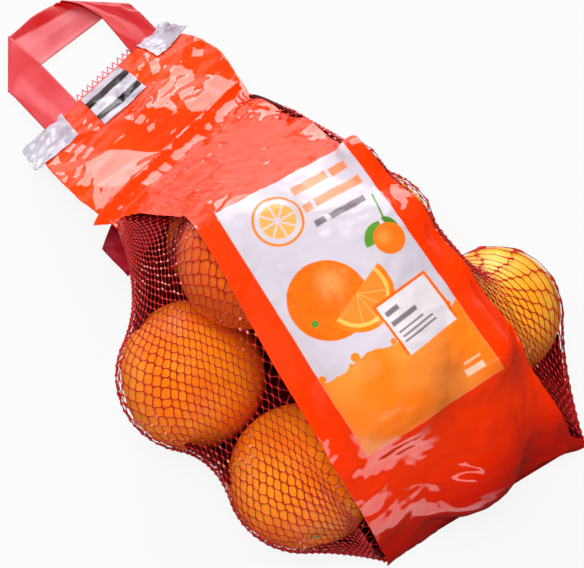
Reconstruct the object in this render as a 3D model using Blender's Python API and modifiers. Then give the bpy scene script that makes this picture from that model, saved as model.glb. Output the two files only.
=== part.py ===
# A net bag of ten oranges lying on its back film: knitted net drawn taut over two layers of
# fruit, a printed film band over the top, a flattened film header and a flat strip handle.
# Metres, +Z up, floor at z = 0, +Y towards the handle.
import math

import bmesh
import bpy
import numpy as np

# Shift from the bag's own working origin to the bottom centre of the finished bounding box.
BAG_SHIFT = (-0.0107, -0.0516)

# Oranges: centre x, y, z and radius.
LOWER_FRUIT = [
    (-0.0666, -0.0122, 0.0398, 0.0380),
    (-0.0440, -0.0890, 0.0403, 0.0385),
    (0.0300, -0.1080, 0.0383, 0.0365),
    (0.0150, -0.0380, 0.0383, 0.0365),
    (0.0910, -0.0590, 0.0368, 0.0350),
    (0.0660, 0.0210, 0.0388, 0.0370),
    (-0.0090, 0.0470, 0.0388, 0.0370),
]
UPPER_FRUIT = [
    (-0.0230, 0.0070, 0.0980, 0.0350),
    (0.0460, -0.0170, 0.0990, 0.0350),
    (0.0020, -0.0800, 0.0990, 0.0360),
]

NET_CLEARANCE = 0.0014      # net surface outside the fruit
FLOOR_CLEARANCE = 0.0014    # underside of the net body above the floor
RING_COUNT = 45
BAND_COLUMNS = 10           # columns of the skin under the front film
SIDE_COLUMNS = 14           # columns down each bare side
RELAX_STEPS = 500
TENSION_ALONG = 0.80        # share of the pull along the bag, the rest goes around it

# The two flattened ends of the net: centre, half width, half height and heading.
SEAM_CENTRE = (0.0395, -0.1370, 0.0054)
SEAM_HALF_WIDTH = 0.0630
SEAM_HALF_HEIGHT = 0.0040
SEAM_HEADING = math.radians(2.5)
NECK_CENTRE = (-0.0110, 0.1000, 0.0450)
NECK_HALF_WIDTH = 0.0530
NECK_HALF_HEIGHT = 0.0040
NECK_HEADING = math.radians(18.3)
PILE_HEIGHT = 0.1450
SIDE_BULGE = 0.0700

# Left and right edges of the front film as (y, x) stations.
FILM_LEFT = [(-0.150, -0.024), (-0.110, -0.041), (0.030, -0.041), (0.085, -0.061)]
FILM_RIGHT = [(-0.150, 0.102), (-0.118, 0.086), (-0.095, 0.075), (-0.060, 0.071), (-0.020, 0.067),
              (0.038, 0.058), (0.085, 0.051), (0.118, 0.041)]
FILM_GAP = 0.0005
FILM_THICKNESS = 0.0008

BACK_FILM_THICKNESS = 0.0008
BACK_FILM_CORNERS = [(-0.022, -0.130), (0.090, -0.126), (0.066, 0.050), (-0.046, 0.060)]

# Header corners, top face: near the neck, then at the handle end.
HEADER_NEAR_LEFT = (-0.0640, 0.0850, 0.0470)
HEADER_NEAR_RIGHT = (0.0395, 0.1195, 0.0470)
HEADER_FAR_LEFT = (-0.0720, 0.1740, 0.0034)
HEADER_FAR_RIGHT = (0.0310, 0.2080, 0.0034)
HEADER_BULGE = 0.0060       # how far the long sides swell outwards
HEADER_THICKNESS = 0.0030
HEADER_COLUMNS = 16
HEADER_ROWS = 12
HEADER_ARCH = 0.0060        # how far the middle of the header stands above a straight slope
HEADER_WAVE = 0.0012
WAVE_ONE = (9.0, 5.0)       # wave turns across and along the header
WAVE_TWO = (-4.0, 11.0)

# White welds and the bar label on the header: range across, range along.
LEFT_PATCH = ((-0.05, 0.22), (0.73, 1.0))
RIGHT_PATCH = ((0.80, 1.03), (0.77, 1.0))
BAR_LABEL = ((0.36, 0.63), (0.77, 0.985))
PATCH_CELLS = 4
PATCH_THICKNESS = 0.0012
SURFACE_GAP = 0.0004

# Handle strip: outer and inner corners of the folded loop, as seen from above.
HANDLE_OUTER = [(-0.0610, 0.1786), (-0.0696, 0.2107), (-0.0531, 0.2441),
                (-0.0157, 0.2507), (0.0183, 0.2291), (0.0235, 0.2065)]
HANDLE_INNER = [(0.0040, 0.2001), (-0.0002, 0.2292), (-0.0447, 0.2191), (-0.0390, 0.1859)]
HANDLE_THICKNESS = 0.0024
CAP_MERGE = 0.00001

NET_RED = (0.45, 0.01, 0.01)
FILM_ORANGE = (0.9, 0.06, 0.01)
STRIP_RED = (0.75, 0.05, 0.06)
WHITE_PRINT = (0.85, 0.82, 0.85)


def clear_scene():
    for obj in list(bpy.data.objects):
        bpy.data.objects.remove(obj, do_unlink=True)


def make_collection(name):
    collection = bpy.data.collections.new(name)
    bpy.context.scene.collection.children.link(collection)
    return collection


def make_material(name, colour, roughness):
    material = bpy.data.materials.new(name)
    material.use_nodes = True
    shader = material.node_tree.nodes["Principled BSDF"]
    shader.inputs["Base Color"].default_value = (*colour, 1.0)
    shader.inputs["Roughness"].default_value = roughness
    shader.inputs["Metallic"].default_value = 0.0
    return material


def place_mesh(name, mesh, material, collection):
    obj = bpy.data.objects.new(name, mesh)
    obj.location = (BAG_SHIFT[0], BAG_SHIFT[1], 0.0)
    obj.data.materials.append(material)
    collection.objects.link(obj)
    return obj


def station_value(stations, y):
    ys = [station[0] for station in stations]
    xs = [station[1] for station in stations]
    return np.interp(y, ys, xs)


def starting_skin():
    """A loose tube round the pile: columns cross the film, go down the right side and back."""
    columns = 2 * (BAND_COLUMNS + SIDE_COLUMNS)
    skin = np.zeros((RING_COUNT, columns, 3))
    for ring in range(RING_COUNT):
        t = ring / (RING_COUNT - 1)
        swell = math.sin(math.pi * t) ** 0.5
        half_width = (1 - t) * SEAM_HALF_WIDTH + t * NECK_HALF_WIDTH
        heading = (1 - t) * SEAM_HEADING + t * NECK_HEADING
        half_height = (1 - t) * SEAM_HALF_HEIGHT + t * NECK_HALF_HEIGHT + 0.5 * PILE_HEIGHT * swell
        centre = [(1 - t) * a + t * b for a, b in zip(SEAM_CENTRE, NECK_CENTRE)]
        centre[2] += 0.5 * PILE_HEIGHT * swell
        for column in range(columns):
            across, up = ring_place(column)
            bulge = SIDE_BULGE * swell * (1 - up * up) if abs(across) >= 1 else 0.0
            reach = across * (half_width + bulge)
            skin[ring, column] = (centre[0] + reach * math.cos(heading),
                                  centre[1] + reach * math.sin(heading),
                                  centre[2] + up * half_height)
    return skin


def ring_place(column):
    """Where a column starts on its ring: across and up, each from -1 to 1."""
    if column <= BAND_COLUMNS:
        return 2 * column / BAND_COLUMNS - 1, 1.0
    column -= BAND_COLUMNS
    if column <= SIDE_COLUMNS:
        return 1.0, 1 - 2 * column / SIDE_COLUMNS
    column -= SIDE_COLUMNS
    if column <= BAND_COLUMNS:
        return 1 - 2 * column / BAND_COLUMNS, -1.0
    column -= BAND_COLUMNS
    return -1.0, 2 * column / SIDE_COLUMNS - 1


def fruit_push(points):
    """How far each point has to move to lie outside the fruit."""
    push = np.zeros_like(points)
    for x, y, z, radius in LOWER_FRUIT + UPPER_FRUIT:
        offset = points - (x, y, z)
        distance = np.linalg.norm(offset, axis=2, keepdims=True)
        reach = radius + NET_CLEARANCE
        push += offset * np.clip(reach / distance - 1.0, 0.0, None)
    return push


def relax_skin(skin):
    """Draw the tube tight over the fruit, with both flattened ends held."""
    left_column, right_column = 0, BAND_COLUMNS
    for _ in range(RELAX_STEPS):
        inner = skin[1:-1]
        along = 0.5 * (skin[:-2] + skin[2:])
        around = 0.5 * (np.roll(inner, 1, axis=1) + np.roll(inner, -1, axis=1))
        pulled = TENSION_ALONG * along + (1 - TENSION_ALONG) * around
        inner += 0.5 * (pulled - inner)
        inner[:, left_column, 0] = station_value(FILM_LEFT, inner[:, left_column, 1])
        inner[:, right_column, 0] = station_value(FILM_RIGHT, inner[:, right_column, 1])
        between = fruit_push(0.5 * (inner + np.roll(inner, -1, axis=1)))
        inner += 0.5 * (between + np.roll(between, 1, axis=1))
        inner += fruit_push(inner)
        np.maximum(inner[..., 2], FLOOR_CLEARANCE, out=inner[..., 2])
    return skin


def grid_mesh(name, points, closed_round):
    """A mesh from a grid of points; a closed grid is capped at its two ends."""
    rows, columns = points.shape[:2]
    bm = bmesh.new()
    verts = [[bm.verts.new(points[row, column]) for column in range(columns)] for row in range(rows)]
    last = columns if closed_round else columns - 1
    for row in range(rows - 1):
        for column in range(last):
            after = (column + 1) % columns
            bm.faces.new((verts[row][column], verts[row][after],
                          verts[row + 1][after], verts[row + 1][column]))
    if closed_round:
        bmesh.ops.holes_fill(bm, edges=[edge for edge in bm.edges if edge.is_boundary], sides=0)
        bmesh.ops.recalc_face_normals(bm, faces=bm.faces)
    bmesh.ops.triangulate(bm, faces=bm.faces)
    mesh = bpy.data.meshes.new(name)
    bm.to_mesh(mesh)
    bm.free()
    mesh.shade_smooth()
    return mesh


def grid_normals(points):
    along = np.gradient(points, axis=0)
    across = np.gradient(points, axis=1)
    normals = np.cross(across, along)
    return normals / np.linalg.norm(normals, axis=2, keepdims=True)


def add_shell(obj, thickness, offset):
    shell = obj.modifiers.new("Thickness", "SOLIDIFY")
    shell.thickness = thickness
    shell.offset = offset
    return shell


def make_front_band(skin, material, collection):
    band = skin[:, : BAND_COLUMNS + 1]
    normals = grid_normals(band)
    lifted = band + normals * FILM_GAP
    obj = place_mesh("front_band", grid_mesh("front_band", lifted, False), material, collection)
    add_shell(obj, FILM_THICKNESS, 1.0)


def flat_plate(name, corners, bottom, thickness, material, collection):
    """A flat plate from a 2D outline."""
    curve = bpy.data.curves.new(name, "CURVE")
    curve.dimensions = "2D"
    curve.fill_mode = "BOTH"
    curve.extrude = thickness / 2
    spline = curve.splines.new("POLY")
    spline.points.add(len(corners) - 1)
    for point, (x, y) in zip(spline.points, corners):
        point.co = (x, y, 0.0, 1.0)
    spline.use_cyclic_u = True
    obj = bpy.data.objects.new(name, curve)
    obj.location = (BAG_SHIFT[0], BAG_SHIFT[1], bottom + thickness / 2)
    curve.materials.append(material)
    collection.objects.link(obj)
    weld = obj.modifiers.new("Weld caps", "WELD")
    weld.merge_threshold = CAP_MERGE
    return obj


def header_point(u, v):
    """Top face of the header: u from left to right, v from the neck to the handle end."""
    near = np.array(HEADER_NEAR_LEFT) * (1 - u) + np.array(HEADER_NEAR_RIGHT) * u
    far = np.array(HEADER_FAR_LEFT) * (1 - u) + np.array(HEADER_FAR_RIGHT) * u
    point = near * (1 - v) + far * v
    outwards = np.array(HEADER_FAR_RIGHT) - np.array(HEADER_FAR_LEFT)
    outwards /= np.linalg.norm(outwards)
    point += outwards * HEADER_BULGE * (2 * u - 1) * math.sin(math.pi * v) ** 0.8
    wave = math.sin(WAVE_ONE[0] * u + WAVE_ONE[1] * v) * math.sin(WAVE_TWO[0] * u + WAVE_TWO[1] * v)
    point[2] += (HEADER_ARCH + HEADER_WAVE * wave) * math.sin(math.pi * v)
    return point


def header_grid(u_range, v_range, columns, rows, lift):
    grid = np.zeros((rows + 1, columns + 1, 3))
    for row in range(rows + 1):
        v = v_range[0] + (v_range[1] - v_range[0]) * row / rows
        for column in range(columns + 1):
            u = u_range[0] + (u_range[1] - u_range[0]) * column / columns
            grid[row, column] = header_point(u, v)
    return grid + grid_normals(grid) * lift


def make_header(material, collection):
    top = header_grid((0, 1), (0, 1), HEADER_COLUMNS, HEADER_ROWS, 0.0)
    obj = place_mesh("header", grid_mesh("header", top, False), material, collection)
    add_shell(obj, HEADER_THICKNESS, -1.0)


def make_header_patch(name, span, material, collection):
    u_range, v_range = span
    top = header_grid(u_range, v_range, PATCH_CELLS, PATCH_CELLS, SURFACE_GAP)
    obj = place_mesh(name, grid_mesh(name, top, False), material, collection)
    add_shell(obj, PATCH_THICKNESS, 1.0)


def make_handle(material, collection):
    flat_plate("handle", HANDLE_OUTER + HANDLE_INNER, 0.0, HANDLE_THICKNESS, material, collection)


def build():
    clear_scene()
    parts = make_collection("net_of_oranges")
    net = make_material("net_red", NET_RED, 0.5)
    film = make_material("film_orange", FILM_ORANGE, 0.25)
    strip = make_material("strip_red", STRIP_RED, 0.4)
    white = make_material("white_print", WHITE_PRINT, 0.4)
    skin = relax_skin(starting_skin())
    place_mesh("fruit_net", grid_mesh("fruit_net", skin, True), net, parts)
    make_front_band(skin, film, parts)
    flat_plate("back_band", BACK_FILM_CORNERS, 0.0, BACK_FILM_THICKNESS, film, parts)
    make_header(film, parts)
    make_header_patch("left_patch", LEFT_PATCH, white, parts)
    make_header_patch("right_patch", RIGHT_PATCH, white, parts)
    make_header_patch("bar_label", BAR_LABEL, white, parts)
    make_handle(strip, parts)


build()
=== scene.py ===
import math

import bpy
import numpy as np
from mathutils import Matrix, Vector


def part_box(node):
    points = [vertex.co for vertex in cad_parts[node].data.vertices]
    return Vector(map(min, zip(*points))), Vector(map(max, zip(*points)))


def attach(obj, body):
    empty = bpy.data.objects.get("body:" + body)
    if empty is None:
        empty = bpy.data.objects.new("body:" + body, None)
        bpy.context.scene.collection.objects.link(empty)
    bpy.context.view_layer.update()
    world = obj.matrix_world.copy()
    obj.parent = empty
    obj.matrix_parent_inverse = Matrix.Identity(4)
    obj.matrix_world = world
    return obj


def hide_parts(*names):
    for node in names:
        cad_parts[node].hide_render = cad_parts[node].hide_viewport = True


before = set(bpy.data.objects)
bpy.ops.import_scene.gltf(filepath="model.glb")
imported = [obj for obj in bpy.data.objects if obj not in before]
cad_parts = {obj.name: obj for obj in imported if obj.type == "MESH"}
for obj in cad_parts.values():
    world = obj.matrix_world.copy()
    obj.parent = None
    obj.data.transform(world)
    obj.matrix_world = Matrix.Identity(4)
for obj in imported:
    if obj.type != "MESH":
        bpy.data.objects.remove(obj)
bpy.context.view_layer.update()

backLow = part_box("back_band")[0]
bagShift = np.array([backLow.x + 0.046, backLow.y + 0.130, 0.0])  # bag's own origin in the row frame


def srgb(r, g, b):
    # written colour 0-255 to linear
    out = []
    for value in (r, g, b):
        c = value / 255
        out.append(c / 12.92 if c <= 0.04045 else ((c + 0.055) / 1.055) ** 2.4)
    return (*out, 1.0)


def smoothStep(low, high, x):
    t = np.clip((x - low) / (high - low), 0.0, 1.0)
    return t * t * (3 - 2 * t)


def normalize(v):
    return v / np.maximum(np.linalg.norm(v, axis=-1, keepdims=True), 1e-12)


def makeMesh(name, points, faces, uv=None, material=None, smooth=True):
    # points are in the bag's own frame and are moved to the row frame here
    mesh = bpy.data.meshes.new(name)
    mesh.from_pydata((np.asarray(points).reshape(-1, 3) + bagShift).tolist(), [], faces)
    if uv is not None:
        layer = mesh.uv_layers.new(name="printMap")
        index = np.zeros(len(mesh.loops), dtype=np.int64)
        mesh.loops.foreach_get("vertex_index", index)
        layer.data.foreach_set("uv", np.asarray(uv).reshape(-1, 2)[index].ravel())
    if smooth:
        mesh.shade_smooth()
    mesh.validate()
    piece = bpy.data.objects.new(name, mesh)
    bpy.context.scene.collection.objects.link(piece)
    if material:
        mesh.materials.append(material)
    return piece


def gridFaces(rows, columns):
    faces = []
    for row in range(rows - 1):
        base = row * columns
        for column in range(columns - 1):
            a = base + column
            faces.append((a, a + 1, a + columns + 1, a + columns))
    return faces


def gridNormals(points):
    normals = np.cross(np.gradient(points, axis=1), np.gradient(points, axis=0))
    return normalize(normals)


def addThickness(piece, thickness, offset=0.0):
    shell = piece.modifiers.new("filmThickness", "SOLIDIFY")
    shell.thickness = thickness
    shell.offset = offset
    shell.use_even_offset = False


def place(piece, slot, *nodes):
    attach(piece, "root")
    if nodes:
        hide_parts(*nodes)


def foldField(x, y, seed, folds, low, high, warp=0.25):
    # straight-edged crumple: triangle waves in random directions, each bent a little, 0 to about 1
    rng = np.random.default_rng(seed)
    total = np.zeros_like(x)
    weight = 0.0
    for _ in range(folds):
        angle = rng.uniform(0, math.pi)
        period = rng.uniform(low, high)
        px, py, pz = rng.uniform(0, 2 * math.pi, 3)
        along = (x * math.cos(angle) + y * math.sin(angle)) / period
        across = (y * math.cos(angle) - x * math.sin(angle)) / period
        bend = warp * (np.sin(1.3 * across + px) + 0.5 * np.sin(2.9 * across + 1.7 * along + py))
        wave = 2 * np.abs((along + bend + pz) % 1.0 - 0.5)
        patch = 0.5 + 0.5 * np.sin(0.9 * across + 0.6 * along + py)
        total += period * wave * patch
        weight += period * 0.5
    return total / weight


def newMaterial(name, colour, roughness, specular=0.5):
    material = bpy.data.materials.new(name)
    material.use_nodes = True
    shader = material.node_tree.nodes["Principled BSDF"]
    shader.inputs["Base Color"].default_value = colour
    shader.inputs["Roughness"].default_value = roughness
    shader.inputs["Specular IOR Level"].default_value = specular
    return material, material.node_tree, shader


def feed(tree, socket, value):
    if isinstance(value, bpy.types.NodeSocket):
        tree.links.new(value, socket)
    else:
        socket.default_value = value


def calc(tree, operation, *values):
    node = tree.nodes.new("ShaderNodeMath")
    node.operation = operation
    for socket, value in zip(node.inputs, values):
        feed(tree, socket, value)
    return node.outputs[0]


def noiseAt(tree, vector, scale, detail=2.0, rough=0.5, colour=False):
    node = tree.nodes.new("ShaderNodeTexNoise")
    tree.links.new(vector, node.inputs["Vector"])
    node.inputs["Scale"].default_value = scale
    node.inputs["Detail"].default_value = detail
    node.inputs["Roughness"].default_value = rough
    return node.outputs["Color" if colour else "Fac"]


def ramp(tree, value, low, high, toLow=0.0, toHigh=1.0):
    node = tree.nodes.new("ShaderNodeMapRange")
    node.interpolation_type = "SMOOTHSTEP"
    feed(tree, node.inputs["Value"], value)
    node.inputs["From Min"].default_value = low
    node.inputs["From Max"].default_value = high
    node.inputs["To Min"].default_value = toLow
    node.inputs["To Max"].default_value = toHigh
    return node.outputs[0]


def inside(tree, distance, soft=0.00025):
    # 1 where the signed distance is negative
    return ramp(tree, distance, -soft, soft, 1.0, 0.0)


def blendColour(tree, mask, under, over):
    node = tree.nodes.new("ShaderNodeMix")
    node.data_type = "RGBA"
    feed(tree, node.inputs["Factor"], mask)
    feed(tree, node.inputs["A"], under)
    feed(tree, node.inputs["B"], over)
    return node.outputs["Result"]


def discDistance(tree, point, centre, radius):
    node = tree.nodes.new("ShaderNodeVectorMath")
    node.operation = "DISTANCE"
    tree.links.new(point, node.inputs[0])
    node.inputs[1].default_value = (centre[0], centre[1], 0.0)
    return calc(tree, "SUBTRACT", node.outputs["Value"], radius)


def planeDistance(tree, point, origin, direction):
    # signed distance along direction from a line through origin
    node = tree.nodes.new("ShaderNodeVectorMath")
    node.operation = "DOT_PRODUCT"
    tree.links.new(point, node.inputs[0])
    length = math.hypot(*direction)
    nx, ny = direction[0] / length, direction[1] / length
    node.inputs[1].default_value = (nx, ny, 0.0)
    return calc(tree, "SUBTRACT", node.outputs["Value"], nx * origin[0] + ny * origin[1])


def boxDistance(tree, point, centre, halfSize, angle=0.0):
    c, s = math.cos(angle), math.sin(angle)
    across = calc(tree, "ABSOLUTE", planeDistance(tree, point, centre, (c, s)))
    down = calc(tree, "ABSOLUTE", planeDistance(tree, point, centre, (-s, c)))
    return calc(tree, "MAXIMUM", calc(tree, "SUBTRACT", across, halfSize[0]),
                calc(tree, "SUBTRACT", down, halfSize[1]))


def leafDistance(tree, point, start, end, width):
    # a leaf is where two large discs overlap
    sx, sy = start
    ex, ey = end
    length = math.hypot(ex - sx, ey - sy)
    half = width / 2
    radius = (length * length / 4 + half * half) / (2 * half)
    mx, my = (sx + ex) / 2, (sy + ey) / 2
    nx, ny = -(ey - sy) / length, (ex - sx) / length
    shift = radius - half
    one = discDistance(tree, point, (mx + nx * shift, my + ny * shift), radius)
    two = discDistance(tree, point, (mx - nx * shift, my - ny * shift), radius)
    return calc(tree, "MAXIMUM", one, two)


def addBump(tree, shader, height, strength, distance):
    bump = tree.nodes.new("ShaderNodeBump")
    bump.inputs["Strength"].default_value = strength
    bump.inputs["Distance"].default_value = distance
    tree.links.new(height, bump.inputs["Height"])
    tree.links.new(bump.outputs["Normal"], shader.inputs["Normal"])


fruit = {  # centre x, y, z, radius and peel
    "left": (-0.0666, -0.0122, 0.0398, 0.0393, "deep"),
    "frontLeft": (-0.0440, -0.0890, 0.0403, 0.0385, "deep"),
    "frontMiddle": (0.0300, -0.1080, 0.0383, 0.0365, "deep"),
    "underMiddle": (0.0100, -0.0380, 0.0360, 0.0330, "deep"),
    "right": (0.0910, -0.0590, 0.0368, 0.0350, "yellow"),
    "backRight": (0.0560, 0.0130, 0.0388, 0.0350, "yellow"),
    "backLeft": (-0.0090, 0.0470, 0.0388, 0.0370, "deep"),
    "topLeft": (-0.0230, 0.0070, 0.0980, 0.0350, "deep_painted_shade"),
    "topRight": (0.0375, -0.0200, 0.0990, 0.0320, "yellow"),
    "topFront": (0.0020, -0.0800, 0.0990, 0.0360, "deep"),
}

skinSetup = {
    "rings": 45,
    "bandColumns": 10,
    "sideColumns": 14,
    "coarseSteps": 500,
    "fineSteps": 320,
    "refine": 3,
    "along": 0.80,          # share of the pull along the bag
    "clearance": 0.0009,
    "floor": 0.0014,
    "seam": (0.0395, -0.1370, 0.0054, 0.0630, 0.0040, 2.5),   # centre, half width, half height, heading
    "neck": (-0.0110, 0.1000, 0.0450, 0.0530, 0.0040, 18.3),
    "rods": (                # stiff folds the film and net pass over: two ends and radius
        ((-0.0300, -0.1120, 0.0490), (0.0860, -0.1240, 0.0120), 0.0115),
        ((-0.0370, 0.0100, 0.1120), (-0.0370, -0.0950, 0.0930), 0.0080),
        ((0.0500, 0.0200, 0.1180), (0.0600, -0.0950, 0.0980), 0.0080),
        ((-0.0040, 0.0060, 0.1250), (0.0060, -0.0860, 0.1240), 0.0095),
    ),
    "pinches": (((0.108, -0.012, 0.040), 0.026, (-0.0011, 0.0003, 0.0)),),    # place, reach and pull
    "pile": 0.145,
    "bulge": 0.070,
    "leftEdge": ((-0.150, -0.024), (-0.110, -0.042), (-0.060, -0.046), (0.010, -0.045), (0.040, -0.043),
                 (0.085, -0.061)),
    "rightEdge": ((-0.150, 0.102), (-0.118, 0.090), (-0.095, 0.079), (-0.060, 0.070), (-0.020, 0.063),
                  (0.038, 0.053), (0.085, 0.050), (0.118, 0.041)),
}


def ringPlace(column):
    band, side = skinSetup["bandColumns"], skinSetup["sideColumns"]
    if column <= band:
        return 2 * column / band - 1, 1.0
    column -= band
    if column <= side:
        return 1.0, 1 - 2 * column / side
    column -= side
    if column <= band:
        return 1 - 2 * column / band, -1.0
    column -= band
    return -1.0, 2 * column / side - 1


def looseSkin():
    rings = skinSetup["rings"]
    columns = 2 * (skinSetup["bandColumns"] + skinSetup["sideColumns"])
    seam, neck = skinSetup["seam"], skinSetup["neck"]
    skin = np.zeros((rings, columns, 3))
    for ring in range(rings):
        t = ring / (rings - 1)
        swell = math.sin(math.pi * t) ** 0.5
        x, y, z, halfWidth, halfHeight, heading = [(1 - t) * a + t * b for a, b in zip(seam, neck)]
        rise = 0.5 * skinSetup["pile"] * swell
        heading = math.radians(heading)
        for column in range(columns):
            across, up = ringPlace(column)
            bulge = skinSetup["bulge"] * swell * (1 - up * up) if abs(across) >= 1 else 0.0
            reach = across * (halfWidth + bulge)
            skin[ring, column] = (x + reach * math.cos(heading), y + reach * math.sin(heading),
                                  z + rise + up * (halfHeight + rise))
    return skin


def fruitPush(points, clearance):
    push = np.zeros_like(points)
    for start, end, radius in skinSetup["rods"]:
        start, span = np.array(start), np.array(end) - np.array(start)
        t = np.clip(((points - start) @ span) / (span @ span), 0, 1)
        offset = points - (start + t[..., None] * span)
        distance = np.maximum(np.linalg.norm(offset, axis=-1, keepdims=True), 1e-6)
        push += offset * np.clip((radius + clearance) / distance - 1.0, 0.0, None)
    for x, y, z, radius, _ in fruit.values():
        offset = points - (x, y, z)
        distance = np.linalg.norm(offset, axis=-1, keepdims=True)
        push += offset * np.clip((radius + clearance) / distance - 1.0, 0.0, None)
    return push


def edgeAt(name, y):
    stations = skinSetup[name]
    return np.interp(y, [s[0] for s in stations], [s[1] for s in stations])


def tighten(skin, steps, rightColumn):
    share = skinSetup["along"]
    for _ in range(steps):
        inner = skin[1:-1]
        along = 0.5 * (skin[:-2] + skin[2:])
        around = 0.5 * (np.roll(inner, 1, axis=1) + np.roll(inner, -1, axis=1))
        inner += 0.5 * (share * along + (1 - share) * around - inner)
        for spot, reach, pull in skinSetup["pinches"]:
            near = np.exp(-np.sum((inner - spot) ** 2, axis=-1) / reach ** 2)
            inner += near[..., None] * pull
        inner[:, 0, 0] = edgeAt("leftEdge", inner[:, 0, 1])
        inner[:, rightColumn, 0] = edgeAt("rightEdge", inner[:, rightColumn, 1])
        between = fruitPush(0.5 * (inner + np.roll(inner, -1, axis=1)), skinSetup["clearance"])
        inner += 0.5 * (between + np.roll(between, 1, axis=1))
        inner += fruitPush(inner, skinSetup["clearance"])
        np.maximum(inner[..., 2], skinSetup["floor"], out=inner[..., 2])
    return skin


def refineSkin(skin, factor):
    rows, columns = skin.shape[:2]
    wrapped = np.concatenate([skin, skin[:, :1]], axis=1)
    r = np.linspace(0, rows - 1, (rows - 1) * factor + 1)
    c = np.arange(columns * factor) / factor
    return sampleGrid(wrapped, r[:, None] + 0 * c[None], c[None] + 0 * r[:, None])


def sampleGrid(grid, r, c):
    rows, columns = grid.shape[:2]
    r = np.clip(r, 0, rows - 1.000001)
    c = np.clip(c, 0, columns - 1.000001)
    r0, c0 = r.astype(int), c.astype(int)
    fr, fc = (r - r0)[..., None], (c - c0)[..., None]
    return ((1 - fr) * ((1 - fc) * grid[r0, c0] + fc * grid[r0, c0 + 1])
            + fr * ((1 - fc) * grid[r0 + 1, c0] + fc * grid[r0 + 1, c0 + 1]))


factor = skinSetup["refine"]
bandEnd = skinSetup["bandColumns"] * factor
sideSpan = skinSetup["sideColumns"] * factor
skin = tighten(looseSkin(), skinSetup["coarseSteps"], skinSetup["bandColumns"])
skin = tighten(refineSkin(skin, factor), skinSetup["fineSteps"], bandEnd)
skinRows, skinColumns = skin.shape[:2]
skinLoop = np.concatenate([skin, skin, skin[:, :1]], axis=1)   # two turns, so any span is one stretch
skinNormals = gridNormals(skinLoop)
print("skin drawn tight", skin.shape)


orangeSetup = {
    "detail": 6,
    "lump": 0.0009,
    "flatten": 0.965,
    "stemDepth": 0.0022,
    "stemWidth": 0.0075,
}

peelColours = {  # main tone, lighter tone, pore tone
    "deep": (srgb(252, 122, 10), srgb(255, 146, 26), srgb(224, 84, 0)),
    "yellow": (srgb(255, 166, 28), srgb(255, 192, 56), srgb(240, 128, 10)),
    # painted shade: a darker copy of the deep peel for the top left orange, which lies in shade under the
    # film and net
    "deep_painted_shade": (srgb(222, 88, 12), srgb(232, 106, 24), srgb(188, 62, 6)),
}

stemAim = {  # where the stem button of each orange points
    "right": (-0.62, 0.30, 0.72), "left": (-0.9, 0.3, -0.1), "frontLeft": (-0.3, -0.9, 0.1),
    "topLeft": (0.1, 0.4, 0.9), "topRight": (0.2, 0.9, 0.2), "backRight": (0.9, 0.3, 0.2),
}


def makePeel(name):
    main, light, pore = peelColours[name]
    material, tree, shader = newMaterial("peel_" + name, main, 0.38, 0.5)
    coords = tree.nodes.new("ShaderNodeTexCoord").outputs["Object"]
    broad = noiseAt(tree, coords, 38.0, 3.0, 0.6)
    tone = blendColour(tree, ramp(tree, broad, 0.36, 0.66), main, light)
    pores = tree.nodes.new("ShaderNodeTexVoronoi")
    tree.links.new(coords, pores.inputs["Vector"])
    pores.inputs["Scale"].default_value = 620.0
    pit = ramp(tree, pores.outputs["Distance"], 0.08, 0.42, 1.0, 0.0)
    tone = blendColour(tree, calc(tree, "MULTIPLY", pit, 0.38), tone, pore)
    stemTint = tree.nodes.new("ShaderNodeAttribute")
    stemTint.attribute_name = "stem"
    tone = blendColour(tree, stemTint.outputs["Fac"], tone, srgb(150, 160, 70))
    tree.links.new(tone, shader.inputs["Base Color"])
    shader.inputs["Subsurface Weight"].default_value = 0.12
    shader.inputs["Subsurface Radius"].default_value = (1.0, 0.45, 0.12)
    shader.inputs["Subsurface Scale"].default_value = 0.002
    height = calc(tree, "ADD", calc(tree, "MULTIPLY", pit, -0.8), noiseAt(tree, coords, 240.0, 2.0))
    addBump(tree, shader, height, 0.35, 0.0005)
    return material


def makeOrange(name, material, seed):
    x, y, z, radius, _ = fruit[name]
    bpy.ops.mesh.primitive_ico_sphere_add(subdivisions=orangeSetup["detail"], radius=1.0)
    ball = bpy.context.active_object
    mesh = ball.data
    unit = np.zeros(len(mesh.vertices) * 3)
    mesh.vertices.foreach_get("co", unit)
    unit = normalize(unit.reshape(-1, 3))
    rng = np.random.default_rng(seed)
    aim = normalize(np.array(stemAim.get(name, tuple(rng.normal(size=3)))))
    lump = np.zeros(len(unit))
    for _ in range(7):
        direction = normalize(rng.normal(size=3))
        lump += np.cos((unit @ direction) * rng.uniform(2.0, 5.0) + rng.uniform(0, 6.28)) / 7
    facing = unit @ aim
    stem = np.exp(-((1 - facing) * radius * radius * 2) / orangeSetup["stemWidth"] ** 2)
    size = radius * (1 - (1 - orangeSetup["flatten"]) * facing ** 2) + orangeSetup["lump"] * lump
    size -= orangeSetup["stemDepth"] * stem
    points = unit * size[:, None] + (x, y, z) + bagShift
    mesh.vertices.foreach_set("co", points.ravel())
    button = mesh.attributes.new("stem", "FLOAT", "POINT")
    spot = np.clip(1.3 * np.exp(-((1 - facing) * 2 * radius * radius) / 0.0032 ** 2) - 0.2, 0, 1)
    button.data.foreach_set("value", spot.astype(np.float32))
    mesh.shade_smooth()
    mesh.update()
    ball.name = "orange_" + name
    mesh.name = ball.name
    mesh.materials.append(material)
    return ball


peels = {name: makePeel(name) for name in peelColours}
for number, name in enumerate(fruit):
    orange = makeOrange(name, peels[fruit[name][4]], 40 + number)
    place(orange, "net", "fruit_net")
print("oranges made", len(fruit))


netSetup = {
    "cellsAround": 26,      # cells down one bare side
    "rowsAlong": 78,
    "knot": 0.40,           # share of a row taken by the knot
    "strand": 0.00022,
    "strandEnd": 0.00030,
    "knotMiddle": 0.00068,
    "knotEnd": 0.00044,
    "sides": 4,
    "underFilm": 2.0,       # how far the net runs on under the film, in skin columns
}


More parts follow.
